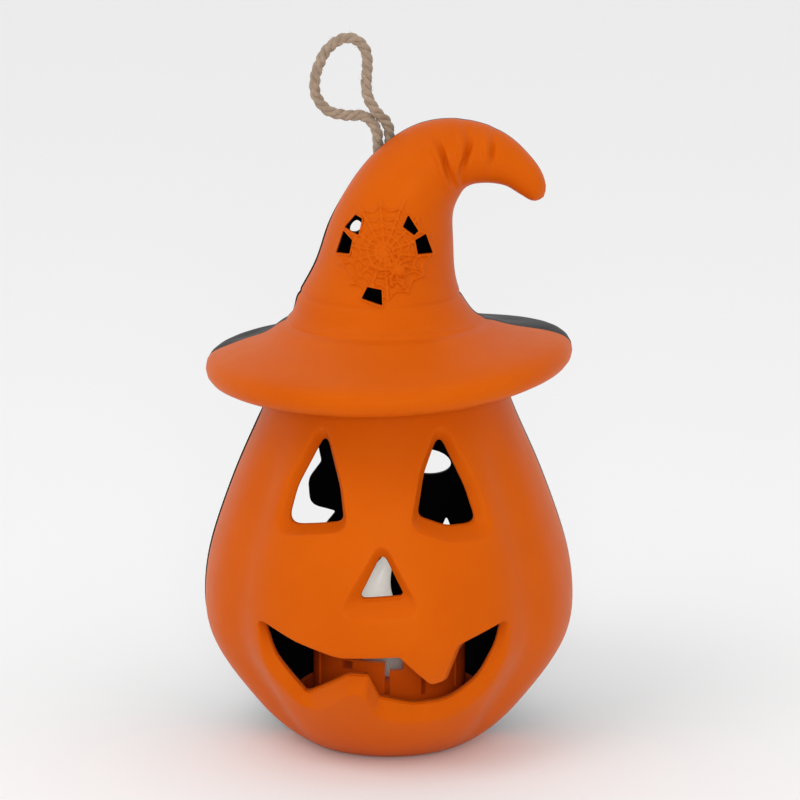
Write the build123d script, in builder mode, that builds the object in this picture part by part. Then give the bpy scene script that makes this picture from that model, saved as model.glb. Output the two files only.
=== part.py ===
"""Hanging pumpkin lantern with a witch's hat: two moulded half shells round an LED candle.

Frame: +Z up, the face looks along -Y, origin at the middle of the foot. Millimetres.
"""
import os
from math import cos, pi, radians, sin, tan

from build123d import *

# ---------------------------------------------------------------- driving dimensions
WALL = 2.0  # moulded wall of both half shells
FRONT_END_Y = 0.05  # rear edge of the front shell
BACK_END_Y = 0.2  # front edge of the back shell
PUMPKIN_R = 55.5  # widest radius of the pumpkin
FOOT_HOLE_R = 22.0  # opening of the shells that the base cup fills

# Outer profile of the pumpkin, radius and height, from the foot to the neck
PUMPKIN_PROFILE = [
    (23.4, 0.0), (29.5, 2.6), (36.6, 8.6), (43.6, 17.0), (50.4, 26.8), (54.6, 36.0),
    (PUMPKIN_R, 45.5), (54.1, 57.5), (49.8, 72.0), (44.1, 87.0), (38.4, 100.0), (34.8, 112.0),
]
NECK_TOP_Z = 119.0
# Outer profile of the brim, from under the neck round the rim to the hat band
BRIM_PROFILE = [
    (33.0, 115.4), (40.0, 114.8), (50.0, 112.6), (53.4, 113.6), (54.8, 116.6), (53.6, 119.8),
    (50.4, 121.8), (44.7, 124.0), (37.2, 126.8), (30.5, 129.6), (26.6, 132.0),
]
BRIM_TILT = 2.8  # the brim leans up to the right
BRIM_TILT_BEARING = 92.0  # bearing of its high side, from the front towards +X
# Hat above the band: centre x, centre z, tilt from upright, radius
CROWN_RINGS = [
    (-2.0, 127.0, 0, 26.0), (-2.5, 133.0, 0, 25.0), (-2.4, 138.0, 1, 23.5), (-1.1, 145.0, 3, 20.7),
    (0.5, 155.0, 6, 18.7), (2.9, 164.0, 12, 16.4), (6.5, 170.7, 20, 14.8), (10.9, 175.6, 31, 13.4),
    (16.8, 179.1, 48, 12.0), (23.6, 180.1, 66, 10.4), (30.0, 179.2, 80, 8.9), (35.6, 176.8, 94, 7.3),
    (39.5, 173.6, 106, 6.0), (42.3, 170.8, 116, 4.9), (44.0, 168.6, 122, 3.7), (44.8, 167.6, 124, 2.4),
]
HOLLOW_RINGS = 13  # the tip beyond this ring is solid

# Openings of the face: corner x, corner z, corner radius
LEFT_EYE = [
    (-17.0, 101.3, 1.6), (-12.6, 86.8, 25), (-11.3, 77.4, 2.4), (-28.2, 74.6, 3.0), (-25.2, 85.8, 20),
]
RIGHT_EYE = [
    (15.7, 101.6, 1.8), (23.4, 86.4, 25), (27.1, 75.8, 2.6), (18.3, 75.9, 12), (10.0, 79.2, 2.4),
    (11.7, 90.8, 20),
]
NOSE = [(0.2, 70.1, 1.8), (6.7, 57.6, 1.2), (-6.7, 56.5, 1.4)]
MOUTH = [
    (-35.2, 47.2, 1.0), (-26.0, 42.2, 20), (-13.0, 38.4, 15), (4.8, 39.3, 0.9), (14.2, 29.4, 2.0),
    (18.9, 30.7, 2.0), (23.0, 41.8, 3.0), (34.4, 47.8, 1.0), (32.7, 40.6, 18), (27.6, 30.5, 18),
    (19.0, 23.3, 14), (8.5, 22.6, 14), (-0.9, 25.4, 0.9), (-3.9, 33.2, 1.5), (-9.6, 33.4, 5.0),
    (-22.4, 24.6, 1.2), (-31.5, 36.6, 18),
]
# Open cells of the cobweb on the hat, corner x and z
WEB_CELLS = [
    [(-9.1, 163.2), (-7.3, 162.3), (-8.4, 158.5), (-12.3, 159.6)],
    [(-12.8, 158.3), (-10.0, 156.4), (-10.9, 152.9), (-14.5, 152.5)],
    [(6.6, 163.6), (9.0, 159.0), (7.8, 158.5), (5.3, 160.8)],
    [(11.3, 157.9), (13.1, 152.8), (9.3, 153.1), (8.6, 156.4)],
    [(-4.9, 143.2), (-1.5, 142.5), (-1.5, 139.0), (-6.5, 140.5)],
]
# Openings of the back: a moon, a cloud and a star
MOON = [
    (-24.2, 84.0, 2.0), (-22.8, 74.2, 3.0), (-27.0, 68.5, 6.0), (-26.6, 59.5, 5.0), (-18.8, 56.2, 0.8),
    (-25.0, 48.5, 5.0), (-34.0, 52.0, 8.0), (-38.0, 64.0, 12.0), (-34.0, 78.0, 8.0),
]
CLOUD_CENTRE = (10.0, 73.2)
CLOUD_RADII = (7.3, 4.4)
STAR_CENTRE = (15.8, 46.2)
STAR_RADII = (8.4, 3.6)
STAR_POINTS = 5
HANG_HOLE = (-10.6, 153.7, 2.0)  # x, z, radius of the wall hook hole in the hat's back
ROPE_HOLE = (-1.6, 5.6, 3.8)  # x, y, radius of the rope hole, drilled straight down

# Screws that join the half shells: x, z
SCREW_PLACES = [(-40.0, 27.0), (40.0, 27.0), (-31.0, 98.0), (31.0, 98.0), (21.0, 178.5)]
BOSS_R = 3.4
WELL_R = 4.6
SCREW_HEAD_R = 2.7
SCREW_HEAD_Y = 6.0
SHANK_R = 1.45
PILOT_R = 1.5
PILOT_DEPTH = 9.0

# Base cup and candle collar
CUP_FLOOR_Z = 4.7
CUP_FLOOR_T = 1.6
CUP_R = 28.2
CUP_TOP_Z = 14.0
CUP_WALL = 1.6
BAY_R = 19.5  # bore that the LED candle slides in
NECK_R = 21.6  # the cup's neck through the foot opening
COLLAR_R = 23.0
COLLAR_WALL = 1.6
COLLAR_TOP_Z = 29.0
SLOT_W = 1.4
# Slots of the collar: bearing from the front, lowest z
COLLAR_SLOTS = [(-62, 18.0), (1, 19.0), (29, 18.4), (62, 18.0), (118, 18.0), (180, 18.0), (-118, 18.0)]
COLLAR_NOTCHES = [(8, 27.8), (-31, 27.2)]  # bearing from the front, height of the middle

# LED candle
CANDLE_R = 19.0
CANDLE_WALL = 1.2
CANDLE_Z = 3.0
CANDLE_TOP_Z = 22.0
BASE_T = 1.6
CELL_R = 10.0
CELL_T = 3.2
CELL_Y = 4.0
DOOR_T = 1.0
DOOR_R = 11.0
TAB_W = 7.0
TAB_L = 6.0
DOOR_SCREW_Y = -8.0
DOOR_SCREW_R = 0.8
CLEAR = 0.2
SWITCH_Y = -13.2
SLIDER_TRAVEL = 2.5
WICK_TOP_Z = 28.0
FLAME_TIP_Z = 58.0

# Rope
ROPE_D = 3.0
KNOT_Z = 170.5
KNOT_R = 5.0


def rounded(corners):
    """Closed outline with a corner radius at each corner, in the sketch plane."""
    points = [(x, z) for x, z, _ in corners]
    FilletPolyline(*points, radius=[r for _, _, r in corners], close=True)


def inset(profile, distance):
    """Points of a profile moved inwards, square to the line between their neighbours."""
    last = len(profile) - 1
    moved = []
    for i, (r, z) in enumerate(profile):
        before = profile[max(i - 1, 0)]
        after = profile[min(i + 1, last)]
        run = Vector(after[0] - before[0], after[1] - before[1]).normalized()
        moved.append((r - distance * run.Y, z + distance * run.X))
    return moved


def on_bearing(radius, bearing, z=0.0):
    """Point at a radius and a bearing from the front, towards +X."""
    return (radius * sin(radians(bearing)), -radius * cos(radians(bearing)), z)


def pumpkin_solid(profile, top_z):
    """Solid of revolution under a pumpkin profile, its neck carried up to a height."""
    with BuildPart() as body:
        with BuildSketch(Plane.XZ):
            with BuildLine():
                side = Spline(*profile)
                Polyline(side @ 1, (profile[-1][0], top_z), (0, top_z), (0, profile[0][1]), side @ 0)
            make_face()
        revolve(axis=Axis.Z)
    return body.part


brim_lift = sin(radians(BRIM_TILT))
brim_up = Vector(-brim_lift * sin(radians(BRIM_TILT_BEARING)), brim_lift * cos(radians(BRIM_TILT_BEARING)),
                 cos(radians(BRIM_TILT)))
brim_out = Vector(0, 1, 0).cross(brim_up)
brim_plane = Plane(origin=(0, 0, 0), x_dir=brim_out, z_dir=brim_out.cross(brim_up))
# The brim leans about the middle of its own disc, so its axis is shifted back over the origin
BRIM_MIDDLE = 119.0
brim_plane.origin = Vector(0, 0, BRIM_MIDDLE) - brim_up * BRIM_MIDDLE


def brim_solid(profile):
    """Solid disc of the brim, revolved round its own leaning axis."""
    with BuildPart() as disc:
        with BuildSketch(brim_plane):
            with BuildLine():
                edge = Spline(*profile)
                Polyline(edge @ 1, (0, profile[-1][1]), (0, profile[0][1]), edge @ 0)
            make_face()
        revolve(axis=Axis(brim_plane.origin, brim_up))
    return disc.part


def crown_solid(rings, inwards):
    """Short cones between the leaning rings of the hat, each ring made smaller by a distance."""
    with BuildPart() as crown:
        for lower, upper in zip(rings, rings[1:]):
            for cx, cz, tilt, ring_r in (lower, upper):
                leaning = Vector(sin(radians(tilt)), 0, cos(radians(tilt)))
                with BuildSketch(Plane(origin=(cx, 0, cz), x_dir=(0, 1, 0), z_dir=leaning)):
                    Circle(ring_r - inwards)
            loft(ruled=True)
    return crown.part


# ---------------------------------------------------------------- the two half shells
with BuildPart() as outer_form:
    add(pumpkin_solid(PUMPKIN_PROFILE, NECK_TOP_Z))
    add(brim_solid(BRIM_PROFILE))
    add(crown_solid(CROWN_RINGS, 0))

inner_pumpkin = inset(PUMPKIN_PROFILE, WALL)
with BuildPart() as inner_form:
    add(pumpkin_solid(inner_pumpkin, NECK_TOP_Z + WALL))
    add(brim_solid(inset(BRIM_PROFILE, WALL)))
    add(crown_solid(CROWN_RINGS[:HOLLOW_RINGS], WALL))

FAR = 80.0
with BuildPart() as full_shell:
    add(outer_form.part)
    add(inner_form.part, mode=Mode.SUBTRACT)
    Cylinder(FOOT_HOLE_R, FAR, mode=Mode.SUBTRACT)


def screw_posts(post_r, reach):
    """Posts round the screws, from the seam out to the outer form; reach is negative at the back."""
    with BuildPart() as posts:
        with BuildSketch(Plane.XZ.offset(-FRONT_END_Y if reach > 0 else -BACK_END_Y)):
            with Locations(*SCREW_PLACES):
                Circle(post_r)
        extrude(amount=reach)
        add(outer_form.part, mode=Mode.INTERSECT)
    return posts.part


with BuildPart() as front_shell:
    add(full_shell.part)
    with Locations((0, FRONT_END_Y, 0)):
        Box(2 * FAR, FAR, 3 * FAR, align=(Align.CENTER, Align.MIN, Align.MIN), mode=Mode.SUBTRACT)
    add(screw_posts(BOSS_R, FAR))
    with BuildSketch(Plane.XZ.offset(-1)):
        with Locations(*SCREW_PLACES):
            Circle(PILOT_R)
    extrude(amount=PILOT_DEPTH + 1, mode=Mode.SUBTRACT)
    # face and cobweb openings, drawn straight through the front
    with BuildSketch(Plane.XZ.offset(10)):
        for outline in (LEFT_EYE, RIGHT_EYE, NOSE, MOUTH):
            with BuildLine():
                rounded(outline)
            make_face()
        for cell in WEB_CELLS:
            Polygon(*cell, align=None)
    extrude(amount=FAR, mode=Mode.SUBTRACT)
front_shell.part.label = "front_shell"

with BuildPart() as back_shell:
    add(full_shell.part)
    with Locations((0, BACK_END_Y, 0)):
        Box(2 * FAR, FAR, 3 * FAR, align=(Align.CENTER, Align.MAX, Align.MIN), mode=Mode.SUBTRACT)
    add(screw_posts(WELL_R, -FAR))
    with BuildSketch(Plane.XZ.offset(1)):
        with Locations(*SCREW_PLACES):
            Circle(SHANK_R + CLEAR)
    extrude(amount=-FAR, mode=Mode.SUBTRACT)
    with BuildSketch(Plane.XZ.offset(-SCREW_HEAD_Y)):
        with Locations(*SCREW_PLACES):
            Circle(SCREW_HEAD_R + CLEAR)
    extrude(amount=-FAR, mode=Mode.SUBTRACT)
    # moon, cloud, star and hook hole
    with BuildSketch(Plane.XZ.offset(-10)):
        with BuildLine():
            rounded(MOON)
        make_face()
        with Locations(CLOUD_CENTRE):
            Ellipse(*CLOUD_RADII)
        with Locations(STAR_CENTRE):
            Polygon(*[(STAR_RADII[i % 2] * sin(i * radians(180 / STAR_POINTS)),
                       STAR_RADII[i % 2] * cos(i * radians(180 / STAR_POINTS)))
                      for i in range(2 * STAR_POINTS)], align=None)
        with Locations(HANG_HOLE[:2]):
            Circle(HANG_HOLE[2])
    extrude(amount=-FAR, mode=Mode.SUBTRACT)
    with BuildSketch(Plane.XY.offset(KNOT_Z)):
        with Locations(ROPE_HOLE[:2]):
            Circle(ROPE_HOLE[2])
    extrude(amount=FAR, mode=Mode.SUBTRACT)
back_shell.part.label = "back_shell"

with BuildPart() as shell_screws:
    with BuildSketch(Plane.XZ.offset(-SCREW_HEAD_Y)):
        with Locations(*SCREW_PLACES):
            Circle(SCREW_HEAD_R)
    extrude(amount=-2.0)
    with BuildSketch(Plane.XZ.offset(-SCREW_HEAD_Y)):
        with Locations(*SCREW_PLACES):
            Circle(SHANK_R)
    extrude(amount=SCREW_HEAD_Y + PILOT_DEPTH - 1)
    with BuildSketch(Plane.XZ.offset(-SCREW_HEAD_Y - 2)):
        with Locations(*SCREW_PLACES):
            Rectangle(3.2, 0.7)
            Rectangle(0.7, 3.2)
    extrude(amount=1.2, mode=Mode.SUBTRACT)
shell_screws.part.label = "shell_screws"

# ---------------------------------------------------------------- base cup and candle collar
with BuildPart() as base_cup:
    with BuildSketch(Plane.XZ):
        with BuildLine():
            Polyline(
                (BAY_R, 0.6), (NECK_R, 0.6), (NECK_R, CUP_FLOOR_Z), (CUP_R, CUP_FLOOR_Z),
                (CUP_R, CUP_TOP_Z), (CUP_R - CUP_WALL, CUP_TOP_Z), (CUP_R - CUP_WALL, CUP_FLOOR_Z + CUP_FLOOR_T),
                (BAY_R, CUP_FLOOR_Z + CUP_FLOOR_T), close=True)
        make_face()
    revolve(axis=Axis.Z)
base_cup.part.label = "base_cup"

with BuildPart() as candle_collar:
    with BuildSketch(Plane.XY.offset(CUP_FLOOR_Z + CUP_FLOOR_T)):
        Circle(COLLAR_R)
        Circle(COLLAR_R - COLLAR_WALL, mode=Mode.SUBTRACT)
    extrude(amount=COLLAR_TOP_Z - CUP_FLOOR_Z - CUP_FLOOR_T)
    # inner guide ring that touches the candle
    with BuildSketch(Plane.XY.offset(CUP_FLOOR_Z + CUP_FLOOR_T)):
        Circle(COLLAR_R - COLLAR_WALL)
        Circle(BAY_R, mode=Mode.SUBTRACT)
    extrude(amount=3.0)
    for bearing, low_z in COLLAR_SLOTS:
        height = COLLAR_TOP_Z + 1 - low_z
        with Locations(Location(on_bearing(COLLAR_R, bearing, low_z + height / 2), (0, 0, bearing))):
            Box(SLOT_W, 8, height, mode=Mode.SUBTRACT)
    # wide notches beside two of the slots
    for bearing, middle_z in COLLAR_NOTCHES:
        with Locations(Location(on_bearing(COLLAR_R, bearing, middle_z), (0, 0, bearing))):
            Box(4.0, 8, 2.6, mode=Mode.SUBTRACT)
candle_collar.part.label = "candle_collar"

# ---------------------------------------------------------------- LED candle
with BuildPart() as light_housing:
    with BuildSketch(Plane.XZ):
        with BuildLine():
            inside_r = CANDLE_R - CANDLE_WALL
            Polyline(
                (inside_r, CANDLE_Z), (CANDLE_R, CANDLE_Z), (CANDLE_R, CANDLE_TOP_Z), (CANDLE_R - 2.0, CANDLE_TOP_Z),
                (CANDLE_R - 2.6, CANDLE_TOP_Z - 1.6), (4.0, CANDLE_TOP_Z - 1.6), (4.0, CANDLE_TOP_Z - 2.8),
                (inside_r, CANDLE_TOP_Z - 2.8), close=True)
        make_face()
    revolve(axis=Axis.Z)
light_housing.part.label = "light_housing"

base_z = CANDLE_Z + 0.4
base_top = base_z + BASE_T


def door_outline(grow):
    """Round battery door with a tab for its screw, in the sketch plane."""
    with Locations((0, CELL_Y)):
        Circle(DOOR_R + grow)
    with Locations((0, DOOR_SCREW_Y)):
        Rectangle(TAB_W + 2 * grow, TAB_L + 2 * grow)


with BuildPart() as light_base:
    with BuildSketch(Plane.XY.offset(base_z)):
        Circle(CANDLE_R - CANDLE_WALL - 0.1)
    extrude(amount=BASE_T)
    with BuildSketch(Plane.XY.offset(base_z)):
        door_outline(CLEAR)
        with Locations((0, SWITCH_Y)):
            Rectangle(SLIDER_TRAVEL + 3.4, 2.4)
    extrude(amount=BASE_T, mode=Mode.SUBTRACT)
    # wall of the battery well
    with BuildSketch(Plane.XY.offset(base_top - 0.3)):
        with Locations((0, CELL_Y)):
            Circle(DOOR_R + 1.6)
            Circle(CELL_R + 0.5, mode=Mode.SUBTRACT)
    extrude(amount=4.6)
    # bridge over the door's tab that takes the screw
    with Locations((0, DOOR_SCREW_Y, base_top + 0.6)):
        Box(TAB_W + 4, 3.4, 2.0)
    with Locations((0, DOOR_SCREW_Y, base_top)):
        Cylinder(DOOR_SCREW_R + 0.1, 8, mode=Mode.SUBTRACT)
light_base.part.label = "light_base"

with BuildPart() as battery_door:
    with BuildSketch(Plane.XY.offset(base_z)):
        door_outline(0)
    extrude(amount=DOOR_T)
    # finger grip: short grooves across the door
    with Locations((0, CELL_Y, base_z)):
        with GridLocations(0, 2.2, 1, 5):
            Box(9, 0.8, 0.8, mode=Mode.SUBTRACT)
    with Locations((0, DOOR_SCREW_Y, base_z)):
        Cylinder(DOOR_SCREW_R + 0.1, 4, mode=Mode.SUBTRACT)
battery_door.part.label = "battery_door"

with BuildPart() as coin_cell:
    with Locations((0, CELL_Y, base_top + 0.2 + CELL_T / 2)):
        Cylinder(CELL_R, CELL_T)
    fillet(coin_cell.edges().group_by(Axis.Z)[0], 0.5)
coin_cell.part.label = "coin_cell"

cell_top = base_top + 0.2 + CELL_T
BOARD_Z = 13.0
BOARD_T = 1.6
CONTACT_T = 0.3
with BuildPart() as spring_contact:
    with BuildSketch(Plane.XZ.offset(-CELL_Y + 2)):
        Polygon(
            (-8.0, BOARD_Z), (-8.0, cell_top + 1.8), (0.0, cell_top), (4.0, cell_top + 0.6),
            (4.0, cell_top + 0.6 + CONTACT_T), (0.0, cell_top + CONTACT_T), (-7.7, cell_top + 1.8 + CONTACT_T),
            (-7.7, BOARD_Z), align=None)
    extrude(amount=-4)
spring_contact.part.label = "spring_contact"

with BuildPart() as side_contact:
    side_y = CELL_Y + CELL_R + 0.05
    with BuildSketch(Plane.YZ.offset(-1.4)):
        Polygon(
            (side_y, base_top + 1.0), (side_y + CONTACT_T, base_top + 1.0), (side_y + CONTACT_T, BOARD_Z - 1.5),
            (6.0, BOARD_Z - 1.5 + CONTACT_T), (6.0, BOARD_Z), (6.0 - CONTACT_T, BOARD_Z),
            (6.0 - CONTACT_T, BOARD_Z - 1.5), (side_y, BOARD_Z - 1.5 - CONTACT_T), align=None)
    extrude(amount=2.8)
side_contact.part.label = "side_contact"

BOARD_X = 24.0
BOARD_Y = 16.0
with BuildPart() as circuit_board:
    with Locations((0, 0, BOARD_Z + BOARD_T / 2)):
        Box(BOARD_X, BOARD_Y, BOARD_T)
    fillet(circuit_board.edges().filter_by(Axis.Z), 1.0)
circuit_board.part.label = "circuit_board"

# Slide switch: its case stands on the base behind the battery well
SWITCH_H = 3.6
with BuildPart() as switch_body:
    with Locations((0, SWITCH_Y, base_top + SWITCH_H / 2)):
        Box(8.6, 3.6, SWITCH_H)
    with Locations((0, SWITCH_Y, base_top + 0.7)):
        Box(SLIDER_TRAVEL + 3.4, 2.0, 1.4, mode=Mode.SUBTRACT)
switch_body.part.label = "switch_body"

SLIDER_X = 2.6
with BuildPart() as switch_slider:
    with Locations((-SLIDER_TRAVEL / 2, SWITCH_Y, base_top + 0.1)):
        Box(SLIDER_X, 1.6, 2.0)
    with Locations((-SLIDER_TRAVEL / 2, SWITCH_Y, base_top - 2.0)):
        Box(1.6, 1.5, 2.6)
switch_slider.part.label = "switch_slider"

# Lamp: LED on two leads inside the candle's wick cone, under a hollow flame
LED_R = 2.5
LED_Z = CANDLE_TOP_Z + 1.0
with BuildPart() as led_lamp:
    with Locations((0, 0, LED_Z)):
        Cylinder(LED_R + 0.4, 1.0, align=(Align.CENTER, Align.CENTER, Align.MIN))
        Cylinder(LED_R, 6.0, align=(Align.CENTER, Align.CENTER, Align.MIN))
    with Locations((0, 0, LED_Z + 6.0)):
        Sphere(LED_R)
led_lamp.part.label = "led_lamp"

LEAD_SPACING = 2.54
with BuildPart() as led_leads:
    with Locations((0, 0, (BOARD_Z + BOARD_T + LED_Z) / 2)):
        with GridLocations(LEAD_SPACING, 0, 2, 1):
            Box(0.5, 0.5, LED_Z - BOARD_Z - BOARD_T)
led_leads.part.label = "led_leads"

with BuildPart() as wick_cone:
    with BuildSketch(Plane.XZ):
        cone_z = CANDLE_TOP_Z - 1.6
        Polygon(
            (9.0, cone_z), (9.0, cone_z + 0.8), (5.6, WICK_TOP_Z), (4.0, WICK_TOP_Z), (3.6, cone_z + 2.0),
            (3.6, cone_z), align=None)
    revolve(axis=Axis.Z)
wick_cone.part.label = "wick_cone"

FLAME_PROFILE = [(4.9, 31.0), (6.6, 35.5), (7.8, 41.0), (7.0, 47.0), (4.4, 52.5), (0.8, 57.3)]
FLAME_HOLLOW = [(0, 50.5), (4.0, 48.0), (6.2, 43.0), (5.2, 36.5), (3.3, WICK_TOP_Z)]
with BuildPart() as flame_bulb:
    with BuildSketch(Plane.XZ):
        with BuildLine():
            flame_side = Spline(*FLAME_PROFILE)
            Polyline(
                flame_side @ 1, (0, FLAME_TIP_Z), *FLAME_HOLLOW, (3.9, WICK_TOP_Z), flame_side @ 0)
        make_face()
    revolve(axis=Axis.Z)
flame_bulb.part.label = "flame_bulb"

with BuildPart() as door_screw:
    with Locations((0, DOOR_SCREW_Y, base_z - 0.35)):
        Cylinder(2 * DOOR_SCREW_R, 0.7)
        Box(2.4, 0.5, 0.5, align=(Align.CENTER, Align.CENTER, Align.MAX), mode=Mode.SUBTRACT)
    with Locations((0, DOOR_SCREW_Y, base_z)):
        Cylinder(DOOR_SCREW_R, 3.0, align=(Align.CENTER, Align.CENTER, Align.MIN))
door_screw.part.label = "door_screw"

# ---------------------------------------------------------------- rope
# Route of the loop: up out of the knot, once round, and back down beside itself
ROPE_ROUTE = [
    (-3.4, 5.4, 174.0), (-3.4, 5.4, 180.0), (-3.5, 4.6, 185.0), (-6.8, 6.4, 189.4), (-12.6, 7.0, 189.0),
    (-18.6, 6.4, 190.2), (-22.6, 6.2, 195.6), (-21.8, 6.0, 203.0), (-18.0, 5.8, 210.4), (-11.4, 5.8, 213.4),
    (-6.6, 6.0, 209.2), (-6.6, 6.0, 202.8), (-7.2, 5.6, 196.4), (-4.4, 4.8, 190.8), (-0.4, 6.6, 187.2),
    (0.2, 5.8, 181.0), (0.2, 5.8, 174.0),
]


def route_radii(route):
    """Arc radius at each corner: 0.45 of the shorter run over the tangent of half the turn."""
    radii = []
    for a, b, c in zip(route, route[1:], route[2:]):
        into = Vector(*b) - Vector(*a)
        out = Vector(*c) - Vector(*b)
        turn = into.get_angle(out)
        radii.append(0.45 * min(into.length, out.length) / tan(radians(turn / 2)))
    return radii


rope_radii = route_radii(ROPE_ROUTE)
print("rope radii", [round(r, 1) for r in rope_radii])
with BuildPart() as hang_rope:
    with BuildLine() as rope_line:
        FilletPolyline(*ROPE_ROUTE, radius=rope_radii)
    start_run = (Vector(*ROPE_ROUTE[1]) - Vector(*ROPE_ROUTE[0])).normalized()
    with BuildSketch(Plane(origin=ROPE_ROUTE[0], z_dir=start_run)):
        Circle(ROPE_D / 2)
    sweep(path=rope_line.wires()[0])
rope_length = rope_line.wires()[0].length
print("rope length", round(rope_length, 1), "volume ratio",
      round(hang_rope.part.volume / (rope_length * pi * ROPE_D ** 2 / 4), 4))
hang_rope.part.label = "hang_rope"

with BuildPart() as rope_knot:
    with Locations((-0.4, 4.8, KNOT_Z)):
        Sphere(KNOT_R)
    split(bisect_by=Plane.XY.offset(ROPE_ROUTE[0][2]), keep=Keep.BOTTOM)
rope_knot.part.label = "rope_knot"

# ---------------------------------------------------------------- write every piece
PIECES = [
    front_shell, back_shell, shell_screws, base_cup, candle_collar, light_housing, light_base, battery_door,
    door_screw, coin_cell, spring_contact, side_contact, circuit_board, switch_body, switch_slider, led_lamp,
    led_leads, wick_cone, flame_bulb, hang_rope, rope_knot,
]
os.makedirs("parts", exist_ok=True)
for piece in PIECES:
    export_step(piece.part, f"parts/{piece.part.label}.step")
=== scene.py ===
"""Looks of the hanging pumpkin lantern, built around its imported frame."""

import math

import bmesh
import bpy
import numpy as np
from bpy.props import FloatProperty, FloatVectorProperty, PointerProperty
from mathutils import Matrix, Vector
from mathutils.geometry import delaunay_2d_cdt


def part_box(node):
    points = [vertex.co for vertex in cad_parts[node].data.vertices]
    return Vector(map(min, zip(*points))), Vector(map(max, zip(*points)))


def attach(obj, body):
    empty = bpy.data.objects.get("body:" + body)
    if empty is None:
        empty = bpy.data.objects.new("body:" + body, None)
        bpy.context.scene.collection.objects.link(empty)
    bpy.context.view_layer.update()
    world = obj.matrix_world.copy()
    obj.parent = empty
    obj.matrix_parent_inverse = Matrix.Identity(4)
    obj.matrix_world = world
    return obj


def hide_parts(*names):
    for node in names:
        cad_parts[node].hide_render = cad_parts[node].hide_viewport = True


bl_info = {
    "name": "Pumpkin lantern",
    "version": (1, 0, 0),
    "blender": (4, 5, 0),
    "location": "View3D > Sidebar > Lantern",
    "description": "Builds the shells, twine and flame of a hanging pumpkin lantern",
    "category": "Add Mesh",
}

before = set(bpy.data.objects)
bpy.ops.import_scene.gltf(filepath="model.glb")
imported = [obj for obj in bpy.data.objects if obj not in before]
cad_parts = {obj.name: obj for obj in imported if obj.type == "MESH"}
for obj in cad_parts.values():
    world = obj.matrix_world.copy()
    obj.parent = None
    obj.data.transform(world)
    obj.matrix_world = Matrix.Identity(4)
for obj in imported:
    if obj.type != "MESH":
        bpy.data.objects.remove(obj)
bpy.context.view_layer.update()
MM = 0.001

# ------------------------------------------------------------------ outer skin of the lantern
# Rings from the foot to the hat's tip, in millimetres: centre x, centre z, tilt in degrees, radius.
PUMPKIN_RINGS = [
    (0, 0.5, 0, 22.0), (0, 0.0, 0, 24.0), (0, 2.6, 0, 29.5), (0, 8.6, 0, 36.6), (0, 17.0, 0, 43.6),
    (0, 26.8, 0, 50.5), (0, 36.0, 0, 54.6), (0, 45.5, 0, 55.5), (0, 57.5, 0, 54.1), (0, 72.0, 0, 49.8),
    (0, 87.0, 0, 44.1), (0, 100.0, 0, 38.4), (0, 108.0, 0, 35.4), (0, 112.0, 0, 34.8),
]
BRIM_RINGS = [
    (0, 114.2, 0, 37.0), (0, 112.6, 0, 44.0), (0, 110.6, 0, 50.0), (0, 111.6, 0, 53.4), (0, 114.4, 0, 54.7),
    (0, 117.6, 0, 53.6), (0, 119.6, 0, 50.4), (0, 122.0, 0, 44.7), (-0.4, 125.4, 0, 37.2),
    (-1.0, 129.0, 0, 30.5), (-1.6, 131.0, 0, 27.4), (-2.4, 135.0, 0, 25.0), (-2.6, 137.2, 0, 23.9),
]
CROWN_RINGS = [
    (-1.1, 145.0, 3, 20.7), (0.5, 155.0, 6, 18.7), (2.9, 164.0, 12, 16.4), (6.5, 170.7, 20, 14.8),
    (10.9, 175.6, 31, 13.4), (16.8, 179.1, 48, 12.0), (23.6, 180.1, 66, 10.4), (30.0, 179.2, 80, 8.9),
    (35.6, 176.8, 94, 7.3), (39.5, 173.6, 106, 6.0), (42.3, 170.8, 116, 4.9), (44.0, 168.6, 122, 3.8),
    (45.1, 167.3, 124, 2.5), (45.6, 166.7, 125, 1.2), (45.8, 166.4, 125, 0.15),
]
RINGS = np.array(PUMPKIN_RINGS + BRIM_RINGS + CROWN_RINGS, float)
NECK_RING = len(PUMPKIN_RINGS) - 2
CROWN_RING = len(PUMPKIN_RINGS) + len(BRIM_RINGS)
# Grooves between the pumpkin's lobes
GROOVE_BEARINGS = (-180, -127, -53, 53, 127, 180)
GROOVE_DEPTH = 1.9
GROOVE_WIDTH = 9.0
# Brim: lifted on one side, drooping at the back, dipping where its top meets the hat
BRIM_LIFT = 5.6
BRIM_LIFT_BEARING = 90.0
BRIM_LIFT_WIDTH = 64.0
BRIM_DROOP = 1.1
BRIM_TOP_RING = 20
BRIM_DIP = 1.5
BRIM_LEFT_DIP = 1.1
BRIM_LEFT_BACK_DIP = 1.6
# How far the back shell's left edge stands proud of the front shell
EDGE_PROUD = 0.4
EDGE_BEARING = 270
WALL = 2.0
WEB_WALL = 1.0
WEB_CENTRE = (-0.5, 153.2)
WEB_R = 14.6


def natural_bends(knots, values):
    """Second derivatives of the natural cubic spline through the values at the knots."""
    gap = np.diff(knots)
    count = len(knots)
    system = np.eye(count)
    right = np.zeros_like(values)
    for i in range(1, count - 1):
        system[i, i - 1:i + 2] = gap[i - 1], 2 * (gap[i - 1] + gap[i]), gap[i]
        right[i] = 6 * ((values[i + 1] - values[i]) / gap[i] - (values[i] - values[i - 1]) / gap[i - 1])
    return np.linalg.solve(system, right)


def spline_at(at, knots, values, bends):
    """Values of the natural cubic spline at the given parameters."""
    span = np.clip(np.searchsorted(knots, at) - 1, 0, len(knots) - 2)
    gap = (knots[span + 1] - knots[span])[..., None]
    up = (knots[span + 1] - at)[..., None]
    down = (at - knots[span])[..., None]
    return (bends[span] * up ** 3 + bends[span + 1] * down ** 3) / (6 * gap) \
        + (values[span] / gap - bends[span] * gap / 6) * up \
        + (values[span + 1] / gap - bends[span + 1] * gap / 6) * down


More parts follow.
